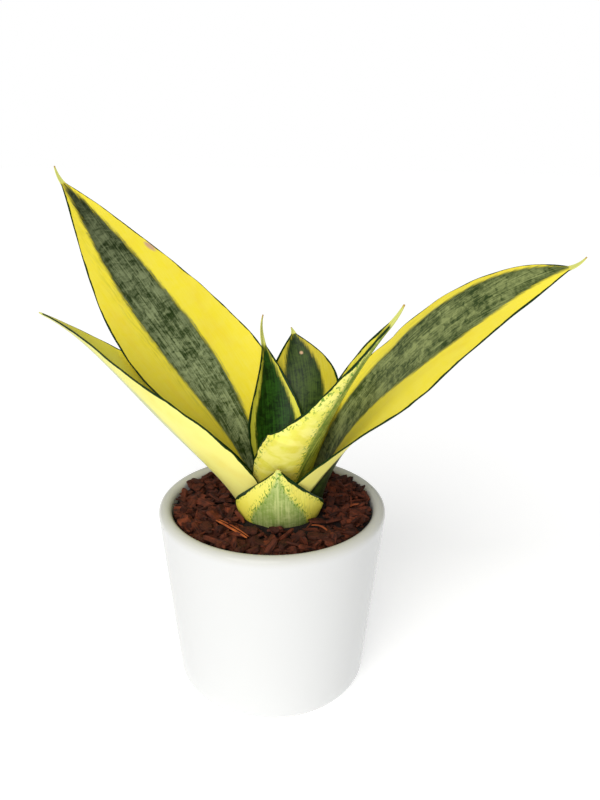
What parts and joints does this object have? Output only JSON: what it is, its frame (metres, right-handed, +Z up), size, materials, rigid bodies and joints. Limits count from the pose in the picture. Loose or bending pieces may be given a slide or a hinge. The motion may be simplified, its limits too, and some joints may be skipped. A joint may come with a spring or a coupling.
{
  "type": "potted snake plant",
  "caption": "Dwarf bird's-nest snake plant with yellow-edged, green-banded gutter leaves, in bark chips in a round white glazed pot",
  "frame": {"origin": "centre of the pot's flat base, on the surface that it stands on", "axes": "+Z up along the pot's axis; -Y is the front of the plant; +X is to the right seen from the front"},
  "size_m": [0.2592, 0.1276, 0.2661],
  "materials": {
    "pot_glaze": "glossy white glaze",
    "leaf": "satin waxy leaf, yellow margins and a mottled green band",
    "bark": "rough red-brown bark",
    "potting_mix": "crumbly dark brown",
    "rhizome": "matt cream"
  },
  "bodies": {
    "root": {"pot": "pot_glaze", "potting_mix": "potting_mix", "bark_bed": "bark", "rhizome": "rhizome", "bark_chip_01": "bark", "bark_chip_02": "bark", "bark_chip_03": "bark", "bark_chip_04": "bark", "bark_chip_05": "bark", "bark_chip_06": "bark", "bark_chip_07": "bark", "bark_chip_08": "bark", "bark_chip_09": "bark", "bark_chip_10": "bark", "bark_chip_11": "bark", "bark_chip_12": "bark", "bark_chip_13": "bark", "bark_chip_14": "bark", "bark_chip_15": "bark", "bark_chip_16": "bark", "bark_chip_17": "bark", "bark_chip_18": "bark", "bark_chip_19": "bark", "bark_chip_20": "bark", "bark_chip_21": "bark", "bark_chip_22": "bark", "bark_chip_23": "bark", "bark_chip_24": "bark", "bark_chip_25": "bark", "bark_chip_26": "bark", "bark_chip_27": "bark", "bark_chip_28": "bark", "bark_chip_29": "bark", "bark_chip_30": "bark", "bark_chip_31": "bark", "bark_chip_32": "bark", "bark_chip_33": "bark", "bark_chip_34": "bark", "bark_chip_35": "bark", "bark_chip_36": "bark", "bark_chip_37": "bark", "bark_chip_38": "bark", "bark_chip_39": "bark", "bark_chip_40": "bark", "leaf_front_short": "leaf", "leaf_right": "leaf", "leaf_left": "leaf", "leaf_front_right": "leaf", "leaf_tall_left": "leaf", "leaf_back": "leaf", "leaf_centre": "leaf"}
  },
  "joints": []
}
